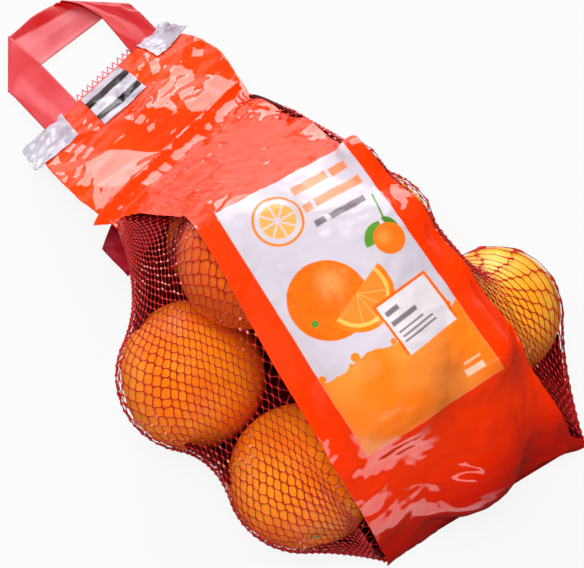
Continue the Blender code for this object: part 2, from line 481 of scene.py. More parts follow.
def tubes(paths, radii, normals):
    # closed tubes along many short paths at once: paths (n, k, 3), radii (k,)
    count, stations = paths.shape[:2]
    sides = netSetup["sides"]
    tangent = normalize(np.gradient(paths, axis=1))
    side = normalize(np.cross(tangent, normals))
    up = np.cross(side, tangent)
    angles = 2 * math.pi * np.arange(sides) / sides
    ring = (side[:, :, None] * np.cos(angles)[None, None, :, None]
            + up[:, :, None] * np.sin(angles)[None, None, :, None])
    body = paths[:, :, None] + ring * np.asarray(radii)[None, :, None, None]
    perTube = stations * sides + 2
    points = np.zeros((count, perTube, 3))
    points[:, :-2] = body.reshape(count, -1, 3)
    points[:, -2] = paths[:, 0] - tangent[:, 0] * radii[0] * 0.6
    points[:, -1] = paths[:, -1] + tangent[:, -1] * radii[-1] * 0.6
    template = []
    for station in range(stations - 1):
        for k in range(sides):
            a = station * sides + k
            b = station * sides + (k + 1) % sides
            template.append((a, b, b + sides, a + sides))
    first, last = stations * sides, stations * sides + 1
    caps = []
    for k in range(sides):
        after = (k + 1) % sides
        caps.append((first, after, k))
        caps.append((last, (stations - 1) * sides + k, (stations - 1) * sides + after))
    faces = []
    for index in range(count):
        base = index * perTube
        faces.extend(tuple(v + base for v in face) for face in template)
        faces.extend(tuple(v + base for v in face) for face in caps)
    return points.reshape(-1, 3), faces


def netPanel(name, firstColumn, lastColumn, material, seed):
    rng = np.random.default_rng(seed)
    cells, rows = netSetup["cellsAround"], netSetup["rowsAlong"]
    pitchC = (lastColumn - firstColumn) / cells
    pitchR = (skinRows - 1) / rows
    half = netSetup["knot"] / 2
    wobble = rng.normal(size=(rows + 2, cells + 3, 2)) * 0.06

    def knotPlace(row, cell):
        shift = 0.5 * (row % 2)
        c = firstColumn + (cell + shift + wobble[row, cell + 1, 0]) * pitchC
        r = (row + wobble[row, cell + 1, 1]) * pitchR
        return r, c

    knotR, knotC, strandR, strandC = [], [], [], []
    ease = np.array([0.0, 0.34, 0.66, 1.0])
    bow = ease + 0.10 * np.sin(2 * math.pi * ease)
    for row in range(rows + 1):
        for cell in range(cells + 1 - row % 2):
            r, c = knotPlace(row, cell)
            knotR.append(r + half * pitchR * np.array([-1.0, -0.4, 0.4, 1.0]))
            knotC.append(np.full(4, c))
            if row == rows:
                continue
            for step in (-1, 0) if row % 2 == 0 else (0, 1):
                other = cell + step
                if other < 0 or other > cells - (row + 1) % 2:
                    continue
                r2, c2 = knotPlace(row + 1, other)
                start, end = r + half * pitchR, r2 - half * pitchR
                strandR.append(start + (end - start) * ease)
                strandC.append(c + (c2 - c) * bow)
    pieces = []
    for r, c, radii in (
        (np.array(knotR), np.array(knotC),
         (netSetup["knotEnd"], netSetup["knotMiddle"], netSetup["knotMiddle"], netSetup["knotEnd"])),
        (np.array(strandR), np.array(strandC),
         (netSetup["strandEnd"], netSetup["strand"], netSetup["strand"], netSetup["strandEnd"])),
    ):
        r = np.clip(r, 0.02, skinRows - 1.02)
        pieces.append(tubes(sampleGrid(skinLoop, r, c), radii, sampleGrid(skinNormals, r, c)))
    points = np.concatenate([pieces[0][0], pieces[1][0]])
    offset = len(pieces[0][0])
    faces = pieces[0][1] + [tuple(v + offset for v in face) for face in pieces[1][1]]
    panel = makeMesh(name, points, faces, material=material)
    # the knot attribute marks the knots and holds how strongly each knot gets the painted highlight
    knots = panel.data.attributes.new("knot", "FLOAT", "POINT")
    per = len(pieces[0][0]) // len(knotR)
    shine = np.zeros(len(points))
    shine[:offset] = np.repeat(rng.uniform(0.4, 1.0, len(knotR)), per)
    knots.data.foreach_set("value", shine.astype(np.float32))
    return panel


def makeNetMaterial():
    material, tree, shader = newMaterial("net_yarn", srgb(180, 20, 24), 0.36, 0.5)
    coords = tree.nodes.new("ShaderNodeTexCoord").outputs["Object"]
    knot = tree.nodes.new("ShaderNodeAttribute")
    knot.attribute_name = "knot"
    tone = blendColour(tree, ramp(tree, noiseAt(tree, coords, 160.0, 2.0), 0.38, 0.62),
                       srgb(140, 10, 12), srgb(184, 24, 24))
    tone = blendColour(tree, ramp(tree, knot.outputs["Fac"], 0.1, 0.5), tone, srgb(196, 32, 32))
    # painted highlight: in patches, some knots get a pale pink glint in their colour
    glintPatches = ramp(tree, noiseAt(tree, coords, 26.0, 2.0), 0.53, 0.64)
    paintedGlint = calc(tree, "MULTIPLY", glintPatches, ramp(tree, knot.outputs["Fac"], 0.60, 0.85))
    tone = blendColour(tree, paintedGlint, tone, srgb(248, 150, 140))
    tree.links.new(tone, shader.inputs["Base Color"])
    addBump(tree, shader, noiseAt(tree, coords, 2600.0, 1.0), 0.3, 0.0002)
    return material


netMaterial = makeNetMaterial()
reach = netSetup["underFilm"]
rightNet = netPanel("net_right", bandEnd - reach, bandEnd + sideSpan + reach, netMaterial, 3)
leftNet = netPanel("net_left", skinColumns - sideSpan - reach, skinColumns + reach, netMaterial, 4)
for piece in (rightNet, leftNet):
    place(piece, "net", "fruit_net")
print("net knitted")


# a dark sheet inside the net, partly the dense lower layers of net and partly painted shade for the shaded
# inside of the bag
shadeSetup = {
    "rows": 110,
    "inset": 0.0020,
    "thickness": 0.0003,
    "view": (-0.208, -0.368, 0.906),    # only the half facing away from here is lined
    "turn": (0.42, 0.12),       # how far it comes round on the left and on the right
    "gap": (0.0010, 0.0028),    # none where the net lies this close to the fruit
}


def averaged(field, steps):
    for _ in range(steps):
        padded = np.pad(field, ((1, 1), (1, 1), (0, 0)), mode="edge")
        field = 0.25 * (padded[:-2, 1:-1] + padded[2:, 1:-1] + padded[1:-1, :-2] + padded[1:-1, 2:])
    return field


def trimGrid(points, level):
    # keeps the part where level is positive; the cut follows level = 0 and not the grid
    points, kept = points.copy(), level > 0
    inner = kept.copy()
    for axis, step in ((0, 1), (0, -1), (1, 1), (1, -1)):
        near = np.roll(inner, step, axis=axis)
        there = np.roll(level, step, axis=axis)
        move = near & ~kept
        share = (there / np.maximum(there - level, 1e-9))[..., None]
        cut = np.roll(points, step, axis=axis) * (1 - share) + points * share
        points = np.where(move[..., None], cut, points)
        kept = kept | move
    return points, kept.ravel()


def makeShade(material):
    s = shadeSetup
    step = 2
    first = bandEnd - 2
    columns = np.arange(first, skinColumns + 3, step).astype(float)
    r = np.linspace(0.4, skinRows - 1.4, s["rows"])
    rr, cc = r[:, None] + 0 * columns[None], columns[None] + 0 * r[:, None]
    normals = sampleGrid(skinNormals, rr, cc)
    points = sampleGrid(skinLoop, rr, cc) - normals * s["inset"]
    np.maximum(points[..., 2], 0.0022, out=points[..., 2])
    side = smoothStep(-0.01, 0.03, points[..., 0])
    turn = s["turn"][0] + (s["turn"][1] - s["turn"][0]) * side
    gap = s["gap"][0] + (s["gap"][1] - s["gap"][0]) * side
    level = turn - (averaged(normals, 10) @ np.array(s["view"]))
    centres = np.array([spot[:3] for spot in fruit.values()])
    radii = np.array([spot[3] for spot in fruit.values()])
    nearest = np.min(np.linalg.norm(points[..., None, :] - centres, axis=-1) - radii, axis=-1)
    level = np.minimum(level, 60.0 * (nearest + s["inset"] - gap))
    level = averaged(level[..., None], 3)[..., 0]
    points, kept = trimGrid(points, level)
    faces = [face for face in gridFaces(len(r), len(columns)) if all(kept[list(face)])]
    used = sorted({v for face in faces for v in face})
    order = {old: new for new, old in enumerate(used)}
    faces = [tuple(order[v] for v in face) for face in faces]
    piece = makeMesh("net_liner_painted_shade", points.reshape(-1, 3)[used], faces, material=material)
    addThickness(piece, s["thickness"])
    return piece


# painted shade: near-black red liner
shade = makeShade(newMaterial("liner_painted_shade", srgb(70, 5, 10), 0.7, 0.2)[0])
place(shade, "net", "fruit_net")
print("gathered net lined")


filmSetup = {
    "rows": 280,
    "columns": 116,
    "clearance": 0.0026,
    "rounds": 30,
    "smoothing": 18,
    "lift": 0.0008,
    "thickness": 0.00030,
    "crumple": 0.0022,
    "fine": 0.0012,
    "edgeWave": 0.0026,
    "ridge": 0.0026,
    "roughness": 0.055,
    "specular": 0.55,
}

labelSetup = {
    "lean": (-0.208, -0.368, 0.906),    # the print is laid on along this line
    "plane": 0.125,
    "corners": ((-0.0292, 0.0252), (0.0466, 0.0279), (0.0484, -0.1182), (-0.0283, -0.1246)),
}

labelPrint = {  # millimetres on the label, from its top left corner
    "size": (78, 142),
    "field": 99.0,
    "ring": ((25, 19), 12.6),
    "wholeFruit": ((25, 66), 20.5),
    "wedge": ((38.6, 70.2), 19.5, (0.39, 0.92)),
    "smallFruit": ((69.5, 54.5), 8.4),
    "callout": ((59.8, 94.5), (15.5, 14.2), -0.07),
    "drops": (((21, 96.6), 2.3), ((17, 99), 1.0), ((41.5, 99.3), 1.5), ((1.5, 98.0), 1.8),
              ((76.5, 98.6), 1.6)),
}

filmColours = {
    "film": srgb(255, 54, 2),
    "paper": srgb(194, 185, 195),
    "field": srgb(255, 122, 28),
    "fruit": srgb(238, 104, 18),
    "pale": srgb(246, 176, 84),
    "leaf": srgb(84, 140, 44),
    "grey": srgb(88, 76, 82),
}


def makeFilmShape():
    # a stiff sheet: bulges are spread wide instead of wrapping each orange
    f = filmSetup
    r = np.linspace(0.0, skinRows - 1.0, f["rows"])
    c = np.linspace(0.0, bandEnd, f["columns"])
    sheet = sampleGrid(skinLoop, r[:, None] + 0 * c[None], c[None] + 0 * r[:, None])
    ends = sheet[[0, -1]].copy()
    for _ in range(f["rounds"]):
        sheet = averaged(sheet, f["smoothing"])
        sheet[:, 0, 0] = edgeAt("leftEdge", sheet[:, 0, 1])
        sheet[:, -1, 0] = edgeAt("rightEdge", sheet[:, -1, 1])
        sheet[[0, -1]] = ends
        push = fruitPush(sheet, f["clearance"])
        sheet[1:-1] += (push + 1.6 * averaged(push, 40))[1:-1]
    for _ in range(6):
        sheet[1:-1] = averaged(sheet, 2)[1:-1]
        sheet[1:-1] += fruitPush(sheet[1:-1], f["clearance"])
    sheet += gridNormals(sheet) * f["lift"]
    return sheet[::-1]                       # first row at the neck, last at the seam


def squareMap(corners, width, length):
    # projective map that takes four corners to a width by length rectangle
    target = ((0, 0), (width, 0), (width, length), (0, length))
    rows, values = [], []
    for (x, y), (u, v) in zip(corners, target):
        rows.append((x, y, 1, 0, 0, 0, -u * x, -u * y))
        rows.append((0, 0, 0, x, y, 1, -v * x, -v * y))
        values += [u, v]
    return np.append(np.linalg.solve(np.array(rows), np.array(values)), 1.0).reshape(3, 3)


def labelMap(sheet):
    # metres on the label: across from its left edge, down from its top edge
    lean = np.array(labelSetup["lean"])
    slide = (labelSetup["plane"] - sheet[..., 2:]) / lean[2]
    flat = sheet[..., :2] + slide * lean[:2]
    width, length = [value * 0.001 for value in labelPrint["size"]]
    mapping = squareMap(labelSetup["corners"], width, length)
    spot = np.concatenate([flat, np.ones_like(flat[..., :1])], axis=-1) @ mapping.T
    steps = np.linalg.norm(np.diff(sheet, axis=0), axis=2)
    arc = np.concatenate([np.zeros((1, sheet.shape[1])), np.cumsum(steps, axis=0)])
    return spot[..., 0] / spot[..., 2], spot[..., 1] / spot[..., 2], arc


def crumpleFilm(sheet, down, arc):
    f = filmSetup
    normals = gridNormals(sheet)
    columns = sheet.shape[1]
    w = np.linspace(0, 1, columns)[None] + 0 * arc
    x, y = w * 0.095, arc
    toSeam = arc[-1:, :] - arc
    onLabel = smoothStep(-0.004, 0.010, down) * smoothStep(0.150, 0.138, down)
    height = f["crumple"] * (foldField(x, y, 11, 7, 0.020, 0.050, 0.4) - 0.5) * (0.62 + 0.38 * (1 - onLabel))
    height += f["fine"] * (foldField(x, y, 12, 9, 0.006, 0.014, 0.5) - 0.5)
    rightEdge = smoothStep(0.80, 1.0, w)
    leftEdge = smoothStep(0.12, 0.0, w)
    height += f["edgeWave"] * rightEdge * np.sin(arc / 0.0075 + 1.2 * np.sin(arc / 0.031))
    height += 0.0006 * leftEdge * np.sin(arc / 0.012 + 0.8)
    fromNeck = np.exp(-arc / 0.028)
    height += 0.0016 * fromNeck * (foldField(x, y * 0.25, 15, 9, 0.005, 0.013, 0.3) - 0.5)
    slope = w - 0.5
    ridge = np.exp(-((toSeam - 0.048 - 0.016 * slope) / 0.020) ** 2)
    height -= f["ridge"] * ridge * (0.55 + 0.45 * smoothStep(0.0, 0.25, w) * smoothStep(1.0, 0.8, w))
    tail = smoothStep(0.075, 0.02, toSeam)
    height += 0.0030 * tail * (foldField(x * 0.7, y, 13, 6, 0.018, 0.040, 0.4) - 0.5)
    return sheet + normals * height[..., None]


def tuckUnder(sheet, rows=7, reach=0.012):
    # the film runs on a little way beneath the header and turns under at the end seam
    hem = sheet[-1] + normalize((sheet[-1] - sheet[-3]) * (1, 1, 0)) * 0.0012
    hem[:, 2] = 0.5 * sheet[-1, :, 2]
    fold = hem.copy()
    fold[:, 2] = 0.0006
    sheet = np.concatenate([sheet, hem[None], fold[None]])
    out = normalize((sheet[0] - sheet[4]) * (1, 1, 0))
    extra = [sheet[0] + out * reach * k / rows - (0, 0, 0.0022 * min(1, k / 3)) for k in range(rows, 0, -1)]
    return np.concatenate([np.array(extra), sheet])


def makeFilmMaterial():
    material, tree, shader = newMaterial("printed_film", filmColours["film"], filmSetup["roughness"],
                                         filmSetup["specular"])
    uv = tree.nodes.new("ShaderNodeUVMap")
    uv.uv_map = "printMap"
    point = uv.outputs["UV"]
    split = tree.nodes.new("ShaderNodeSeparateXYZ")
    tree.links.new(point, split.inputs[0])
    across, down = split.outputs["X"], split.outputs["Y"]
    mm = 0.001
    width, length = [value * mm for value in labelPrint["size"]]
    colour = filmColours["film"]

    def cover(distance, paint, soft=0.00025, strength=1.0):
        nonlocal colour
        mask = inside(tree, distance, soft)
        if strength < 1.0:
            mask = calc(tree, "MULTIPLY", mask, strength)
        colour = blendColour(tree, mask, colour, paint)

    def at(place):
        return place[0] * mm, place[1] * mm

    label = boxDistance(tree, point, (width / 2 + 0.003, length / 2), (width / 2 + 0.003, length / 2))
    label = calc(tree, "MAXIMUM", label, planeDistance(tree, point, (width, 0.0), (length, -0.0055)))
    cover(label, filmColours["paper"])

    centre, radius = labelPrint["wholeFruit"]                   # soft shadow, then the fruit
    cover(discDistance(tree, point, (centre[0] * mm + 0.004, centre[1] * mm + 0.004), radius * mm),
          srgb(186, 178, 190), 0.005, 0.7)
    cover(discDistance(tree, point, at(centre), radius * mm), filmColours["fruit"])
    cover(discDistance(tree, point, ((centre[0] + 6) * mm, (centre[1] - 7) * mm), 6 * mm),
          srgb(246, 150, 84), 0.006, 0.7)
    mottle = noiseAt(tree, point, 260.0, 3.0, 0.6)
    fruitMask = inside(tree, discDistance(tree, point, at(centre), radius * mm))
    colour = blendColour(tree, calc(tree, "MULTIPLY", fruitMask, ramp(tree, mottle, 0.45, 0.75, 0.0, 0.5)),
                         colour, srgb(214, 78, 6))
    cover(discDistance(tree, point, ((centre[0] - 12) * mm, (centre[1] + 7) * mm), 1.9 * mm),
          filmColours["leaf"], 0.0005)

    centre, radius, aim = labelPrint["wedge"]
    flat = planeDistance(tree, point, at(centre), (-aim[0], -aim[1]))
    for inset, paint in ((0.0, srgb(240, 116, 22)), (2.6, filmColours["pale"]), (4.6, srgb(242, 126, 42))):
        disc = discDistance(tree, point, at(centre), (radius - inset) * mm)
        cover(calc(tree, "MAXIMUM", disc, flat), paint, 0.0003)
    for turn in (-0.75, -0.25, 0.25, 0.75):                     # pale lines between the segments
        direction = (aim[0] * math.cos(turn) - aim[1] * math.sin(turn),
                     aim[0] * math.sin(turn) + aim[1] * math.cos(turn))
        middle = ((centre[0] + direction[0] * 7.5) * mm, (centre[1] + direction[1] * 7.5) * mm)
        angle = math.atan2(direction[1], direction[0])
        segment = boxDistance(tree, point, middle, (7.0 * mm, 0.25 * mm), angle)
        cover(segment, srgb(248, 170, 100), 0.0003, 0.7)

    centre, radius = labelPrint["smallFruit"]
    cover(boxDistance(tree, point, (0.0735, 0.0385), (0.0085, 0.0005), 1.73), filmColours["leaf"], 0.0002)
    cover(leafDistance(tree, point, (0.0695, 0.0440), (0.0565, 0.0530), 0.0075), filmColours["leaf"])
    cover(leafDistance(tree, point, (0.0715, 0.0430), (0.0770, 0.0510), 0.0040), srgb(70, 120, 40))
    cover(discDistance(tree, point, at(centre), radius * mm), srgb(240, 112, 26), 0.0003)
    cover(discDistance(tree, point, ((centre[0] - 2) * mm, (centre[1] - 2) * mm), 3 * mm),
          srgb(250, 150, 70), 0.003, 0.7)

    centre, radius = labelPrint["ring"]                         # generic cut-fruit wheel
    rim = calc(tree, "ABSOLUTE", discDistance(tree, point, at(centre), radius * mm))
    cover(calc(tree, "SUBTRACT", rim, 0.0007), srgb(240, 120, 36))
    cover(discDistance(tree, point, at(centre), (radius - 3.4) * mm), srgb(246, 160, 84), 0.0003)
    for turn in range(4):
        cover(boxDistance(tree, point, at(centre), ((radius - 3.6) * mm, 0.45 * mm), turn * math.pi / 4),
              filmColours["paper"], 0.0003)

    for middle, half, paint in (                                 # plain bars where wording would be
        ((50.0, 9.0), (10.5, 2.3), srgb(240, 120, 52)), ((67.5, 9.6), (5.0, 2.3), srgb(240, 120, 52)),
        ((42.0, 20.2), (2.4, 2.3), srgb(240, 120, 52)), ((60.5, 19.8), (14.0, 2.3), srgb(240, 120, 52)),
        ((43.5, 29.6), (3.0, 1.7), filmColours["grey"]), ((60.0, 29.8), (10.5, 1.7), filmColours["grey"]),
    ):
        cover(boxDistance(tree, point, at(middle), (half[0] * mm, half[1] * mm)), paint, 0.0005, 0.85)

    wave = calc(tree, "MULTIPLY", calc(tree, "SINE", calc(tree, "MULTIPLY", across, 190.0)), 0.0016)
    ripple = calc(tree, "MULTIPLY", noiseAt(tree, point, 90.0, 2.0), 0.006)
    edge = calc(tree, "ADD", calc(tree, "ADD", labelPrint["field"] * mm - 0.003, wave), ripple)
    field = calc(tree, "MAXIMUM", calc(tree, "SUBTRACT", edge, down), label)
    fieldTone = blendColour(tree, ramp(tree, noiseAt(tree, point, 28.0, 1.0), 0.42, 0.6),
                            filmColours["field"], srgb(255, 138, 52))
    cover(field, fieldTone, 0.0003)
    for centre, radius in labelPrint["drops"]:
        cover(discDistance(tree, point, at(centre), radius * mm), filmColours["field"])

    centre, half, angle = labelPrint["callout"]
    cover(boxDistance(tree, point, (centre[0] * mm, (centre[1] - 1.2) * mm),
                      ((half[0] + 1.5) * mm, (half[1] + 0.3) * mm), angle), srgb(246, 98, 14))
    cover(boxDistance(tree, point, at(centre), (half[0] * mm, half[1] * mm), angle), srgb(214, 205, 210))
    for middle, wide, tall in (((49.5, 86.5), 3.8, 1.3), ((53.5, 91.8), 8.0, 1.3), ((54.5, 96.8), 8.0, 0.5),
                               ((57.0, 99.4), 10.0, 0.5), ((57.0, 102.0), 10.5, 0.5)):
        cover(boxDistance(tree, point, at(middle), (wide * mm, tall * mm), angle),
              filmColours["grey"], 0.0004, 0.85)
    cover(boxDistance(tree, point, (0.0715, 0.1290), (0.0050, 0.0006)), srgb(255, 208, 170), 0.0004, 0.8)
    cover(boxDistance(tree, point, (0.0705, 0.1340), (0.0055, 0.0019)), srgb(255, 222, 196), 0.0005, 0.8)

    # painted shade: the film darkens towards the end seam, where it turns down away from the light
    seamShade = ramp(tree, down, 0.150, 0.200)
    colour = blendColour(tree, seamShade, colour, srgb(196, 20, 2))
    tree.links.new(colour, shader.inputs["Base Color"])
    matt = inside(tree, label)                                  # the label shines less than the bare film
    rough = calc(tree, "ADD", filmSetup["roughness"], calc(tree, "MULTIPLY", matt, 0.13))
    shine = calc(tree, "SUBTRACT", filmSetup["specular"], calc(tree, "MULTIPLY", matt, 0.33))
    tree.links.new(rough, shader.inputs["Roughness"])
    tree.links.new(shine, shader.inputs["Specular IOR Level"])
    return material


filmFlat = tuckUnder(makeFilmShape())
filmAcross, filmDown, filmArc = labelMap(filmFlat)
filmPoints = crumpleFilm(filmFlat, filmDown, filmArc)
filmMaterial = makeFilmMaterial()
film = makeMesh("front_film", filmPoints, gridFaces(*filmPoints.shape[:2]),
                np.stack([filmAcross, filmDown], axis=-1), filmMaterial)
addThickness(film, filmSetup["thickness"])
place(film, "film", "front_band")
print("front film laid")


def plainFilm(name, colour, dark, roughness=0.16):
    material, tree, shader = newMaterial(name, colour, roughness, 0.55)
    coords = tree.nodes.new("ShaderNodeTexCoord").outputs["Object"]
    tone = blendColour(tree, ramp(tree, noiseAt(tree, coords, 24.0, 2.0), 0.35, 0.7, 0.0, 1.0), colour, dark)
    tree.links.new(tone, shader.inputs["Base Color"])
    return material


backSetup = {"rows": 120, "columns": 50, "drop": 0.0011, "floor": 0.0006, "thickness": 0.0003}

backMaterial = plainFilm("back_film_red", srgb(190, 20, 14), srgb(150, 10, 10))


def makeBackFilm():
    b = backSetup
    first = bandEnd + sideSpan
    r = np.linspace(0.0, skinRows - 1.0, b["rows"])
    c = np.linspace(first, first + bandEnd, b["columns"])
    sheet = sampleGrid(skinLoop, r[:, None] + 0 * c[None], c[None] + 0 * r[:, None])
    sheet = sheet + sampleGrid(skinNormals, r[:, None] + 0 * c[None], c[None] + 0 * r[:, None]) * b["drop"]
    for _ in range(30):
        sheet[1:-1] = 0.5 * sheet[1:-1] + 0.25 * (sheet[:-2] + sheet[2:])
    y = sheet[..., 1]
    sheet[..., 2] -= 0.0006 + 0.012 * smoothStep(0.03, 0.07, y) * smoothStep(0.105, 0.085, y)
    np.maximum(sheet[..., 2], b["floor"], out=sheet[..., 2])
    return sheet


backPoints = makeBackFilm()
backFilm = makeMesh("back_film", backPoints, gridFaces(*backPoints.shape[:2]), material=backMaterial)
addThickness(backFilm, backSetup["thickness"])
place(backFilm, "film", "back_band")
print("back film laid")


flapSetup = {
    "tip": (-0.0742, 0.0768, 0.0400),
    "near": (-0.0573, 0.0920, 0.0430),
    "far": (-0.0690, 0.0570, 0.0360),
    "root": (-0.0350, 0.0700, 0.0500),
    "cells": 30,
    "crumple": 0.0030,
}


def makeFlap():
    f = flapSetup
    s = np.linspace(0, 1, f["cells"])[None, :, None] + np.zeros((f["cells"], 1, 1))
    t = np.linspace(0, 1, f["cells"])[:, None, None] + np.zeros((1, f["cells"], 1))
    near, tip, far, root = [np.array(f[name]) for name in ("near", "tip", "far", "root")]
    points = (1 - s) * ((1 - t) * root + t * near) + s * ((1 - t) * far + t * tip)
    folds = foldField(s[..., 0] * 0.035, t[..., 0] * 0.03, 61, 5, 0.010, 0.022, 0.3)
    points[..., 2] += f["crumple"] * (folds - 0.5)
    return points


flapPoints = makeFlap()
flapMaterial = plainFilm("flap_film", srgb(150, 14, 34), srgb(84, 4, 12))
flap = makeMesh("neck_flap", flapPoints, gridFaces(*flapPoints.shape[:2]), material=flapMaterial)
addThickness(flap, 0.0003)
place(flap, "film", "back_band")


headerSetup = {
    "nearLeft": (-0.0640, 0.0850, 0.0470),
    "nearRight": (0.0395, 0.1195, 0.0470),
    "farLeft": (-0.0720, 0.1740, 0.0034),
    "farRight": (0.0310, 0.2080, 0.0034),
    "bulge": 0.0060,
    "cutBack": 0.0060,
    "cells": 150,
    "crumple": 0.0105,
    "fine": 0.0014,
    "thickness": 0.0010,
}


def headerBase(u, v):
    h = headerSetup
    near = np.array(h["nearLeft"]) * (1 - u)[..., None] + np.array(h["nearRight"]) * u[..., None]
    far = np.array(h["farLeft"]) * (1 - u)[..., None] + np.array(h["farRight"]) * u[..., None]
    point = near * (1 - v)[..., None] + far * v[..., None]
    outwards = normalize(np.array(h["farRight"]) - np.array(h["farLeft"]))
    middle = np.sin(math.pi * np.clip(v, 0, 1))
    point = point + outwards * (h["bulge"] * (2 * u - 1) * middle ** 0.8)[..., None]
    point[..., 2] += 0.006 * middle
    corner = smoothStep(0.70, 1.0, u) * smoothStep(0.35, 0.95, v)
    point -= outwards * (h["cutBack"] * corner)[..., None]
    return point


def headerSurface(u, v, lift=0.0):
    h = headerSetup
    base = headerBase(u, v)
    x, y = u * 0.108, v * 0.092
    height = h["crumple"] * (foldField(x, y, 21, 5, 0.024, 0.050, 0.22) - 0.5)
    height += h["fine"] * (foldField(x, y, 22, 5, 0.008, 0.018, 0.3) - 0.5)
    height *= 0.25 + 0.75 * np.sin(math.pi * np.clip(v, 0.02, 0.98)) ** 0.6
    pucker = np.exp(-np.abs(v + 0.035) * 0.092 / 0.0022) * (0.35 + 0.65 * np.sin(x / 0.006) ** 2)
    height += 0.00055 * pucker * np.sin(x / 0.00050 + 3 * np.sin(x / 0.009))
    height += lift
    base[..., 2] += height
    return base


def headerSheet(name, uRange, vRange, columns, rows, lift, material, extra=None):
    u = np.linspace(*uRange, columns)[None] + np.zeros((rows, 1))
    v = np.linspace(*vRange, rows)[:, None] + np.zeros((1, columns))
    s = np.linspace(0, 1, columns)[None] + np.zeros((rows, 1))
    t = np.linspace(0, 1, rows)[:, None] + np.zeros((1, columns))
    if extra:
        u, v, more = extra(u, v, s, t)
    else:
        more = 0.0
    points = headerSurface(u, v, lift)
    points[..., 2] += more
    return makeMesh(name, points, gridFaces(rows, columns), np.stack([s, t], axis=-1), material)


headerMaterial = plainFilm("header_film", srgb(255, 64, 6), srgb(250, 54, 4), 0.055)
header = headerSheet("header_film", (0, 1), (-0.06, 1), headerSetup["cells"], headerSetup["cells"], 0.0,
                     headerMaterial)
addThickness(header, headerSetup["thickness"], -1.0)
place(header, "film", "header")
print("header crumpled")


def makeWhiteFilm(name, bars=False):
    material, tree, shader = newMaterial(name, srgb(232, 228, 235), 0.22, 0.5)
    uv = tree.nodes.new("ShaderNodeUVMap")
    uv.uv_map = "printMap"
    coords = tree.nodes.new("ShaderNodeTexCoord").outputs["Object"]
    tone = blendColour(tree, ramp(tree, noiseAt(tree, coords, 120.0, 3.0), 0.4, 0.7),
                       srgb(184, 178, 190), srgb(156, 142, 156))
    if bars:
        split = tree.nodes.new("ShaderNodeSeparateXYZ")
        tree.links.new(uv.outputs["UV"], split.inputs[0])
        bend = calc(tree, "MULTIPLY", calc(tree, "SUBTRACT", noiseAt(tree, uv.outputs["UV"], 3.0), 0.5), 0.16)
        down = split.outputs["Y"]
        top = calc(tree, "ABSOLUTE", calc(tree, "SUBTRACT", down, 0.68))
        top = calc(tree, "SUBTRACT", top, 0.10)
        low = calc(tree, "ABSOLUTE", calc(tree, "SUBTRACT", calc(tree, "ADD", down, bend), 0.24))
        low = calc(tree, "SUBTRACT", low, 0.085)
        tone = blendColour(tree, inside(tree, top, 0.01), tone, srgb(10, 3, 3))
        tone = blendColour(tree, inside(tree, low, 0.012), tone, srgb(14, 10, 12))
    tree.links.new(tone, shader.inputs["Base Color"])
    return material


def raggedLeft(u, v, s, t):
    out = smoothStep(0.45, 0.0, s)
    u = u - 0.022 * out * (0.5 + 0.5 * np.sin(11 * t + 1.0) * np.sin(5 * t))
    bump = 0.0022 * out * (foldField(s * 0.03, t * 0.03, 31, 6, 0.005, 0.012, 0.6) - 0.2)
    return u, v, bump + 0.0010 * (foldField(s * 0.03, t * 0.03, 32, 6, 0.005, 0.010, 0.6) - 0.5)


def raggedRight(u, v, s, t):
    out = smoothStep(0.55, 1.0, s)
    u = u + 0.020 * out * (0.5 + 0.5 * np.sin(10 * t + 2.2) * np.sin(6 * t + 0.6))
    bump = 0.0022 * out * (foldField(s * 0.03, t * 0.03, 33, 6, 0.005, 0.012, 0.6) - 0.2)
    return u, v, bump + 0.0010 * (foldField(s * 0.03, t * 0.03, 34, 6, 0.005, 0.010, 0.6) - 0.5)


patchLift = 0.0006
whiteFilm = makeWhiteFilm("white_weld_film")
barFilm = makeWhiteFilm("bar_label_film", True)
leftPatch = headerSheet("left_weld_patch", (-0.05, 0.22), (0.73, 1.0), 60, 60, patchLift, whiteFilm,
                        raggedLeft)
rightPatch = headerSheet("right_weld_patch", (0.80, 1.03), (0.77, 1.0), 60, 60, patchLift, whiteFilm,
                         raggedRight)
barLabel = headerSheet("bar_label_sheet", (0.35, 0.63), (0.63, 0.975), 60, 60, patchLift, barFilm)
for piece, node in ((leftPatch, "left_patch"), (rightPatch, "right_patch"), (barLabel, "bar_label")):
    addThickness(piece, 0.0004, 1.0)
    place(piece, "white_film", node)
print("patches and label placed")


handleSetup = {
    "lines": (                # the strip's two edges at its ends, folds and bends; folds are marked
        ((-0.0600, 0.1660), (-0.0360, 0.1760), False),
        ((-0.0683, 0.2054), (-0.0450, 0.2185), False),
        ((-0.0696, 0.2107), (-0.0528, 0.2447), True),
        ((-0.0599, 0.2151), (-0.0358, 0.2501), False),
        ((0.0092, 0.2309), (-0.0200, 0.2520), False),
        ((0.0186, 0.2297), (-0.0154, 0.2513), True),
        ((0.0200, 0.2240), (-0.0067, 0.2424), False),
        ((0.0213, 0.2194), (0.0003, 0.2289), False),
        ((0.0255, 0.2000), (0.0050, 0.1940), False),
    ),
    "high": 0.0042,
    "low": 0.0012,
    "across": 26,
    "along": 36,
    "wave": 0.0026,
    "thickness": 0.0003,
}


